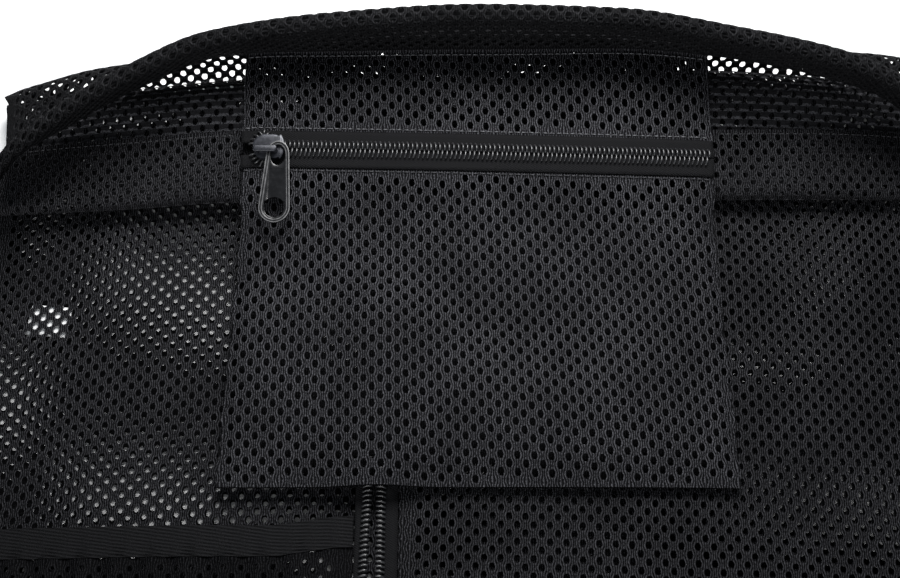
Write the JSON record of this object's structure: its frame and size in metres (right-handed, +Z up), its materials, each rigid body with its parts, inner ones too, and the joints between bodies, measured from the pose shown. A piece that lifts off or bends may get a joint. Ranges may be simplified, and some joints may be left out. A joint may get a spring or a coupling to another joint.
{
  "type": "mesh drawstring bag",
  "caption": "Flat mesh drawstring bag lying open-mouthed, with its inner zip pocket pulled out over the rolled front edge, an upright front zip and a gathered slip pocket.",
  "frame": {"origin": "bottom centre of the bounding box, on the surface that the bag lies on", "axes": "+X across the bag to the right, +Y from the bottom seam to the mouth, +Z up out of the front"},
  "size_m": [0.3343, 0.358, 0.0605],
  "materials": {
    "mesh_cloth": "matt black polyester mesh",
    "pocket_mesh": "soft black polyester mesh",
    "zip_tape": "black twill tape",
    "zip_coil": "black nylon coil",
    "slider_metal": "dark lacquered metal",
    "elastic_weave": "ribbed black elastic",
    "label_cloth": "plain white woven label"
  },
  "bodies": {
    "bag": {"back_wall": "mesh_cloth", "back_mouth": "mesh_cloth", "front_wall": "mesh_cloth", "pocket_back": "pocket_mesh", "pocket_front": "pocket_mesh", "pocket_strip": "pocket_mesh", "pocket_upper_tape": "zip_tape", "pocket_lower_tape": "zip_tape", "pocket_upper_coil": "zip_coil", "pocket_lower_coil": "zip_coil", "pocket_slider": "slider_metal", "zip_panel": "mesh_cloth", "front_left_tape": "zip_tape", "front_right_tape": "zip_tape", "front_left_coil": "zip_coil", "front_right_coil": "zip_coil", "front_slider": "slider_metal", "elastic_band": "elastic_weave", "slip_pocket": "mesh_cloth", "label": "label_cloth"},
    "pull": {"pull_tab": "slider_metal"}
  },
  "joints": [
    {"name": "pull_swivel", "type": "hinge", "parent": "bag", "child": "pull", "pos_m": [-0.0661, 0.12683, 0.03247], "axis": [0, -0.1379, 0.9904], "range_deg": [-20, 95]}
  ]
}
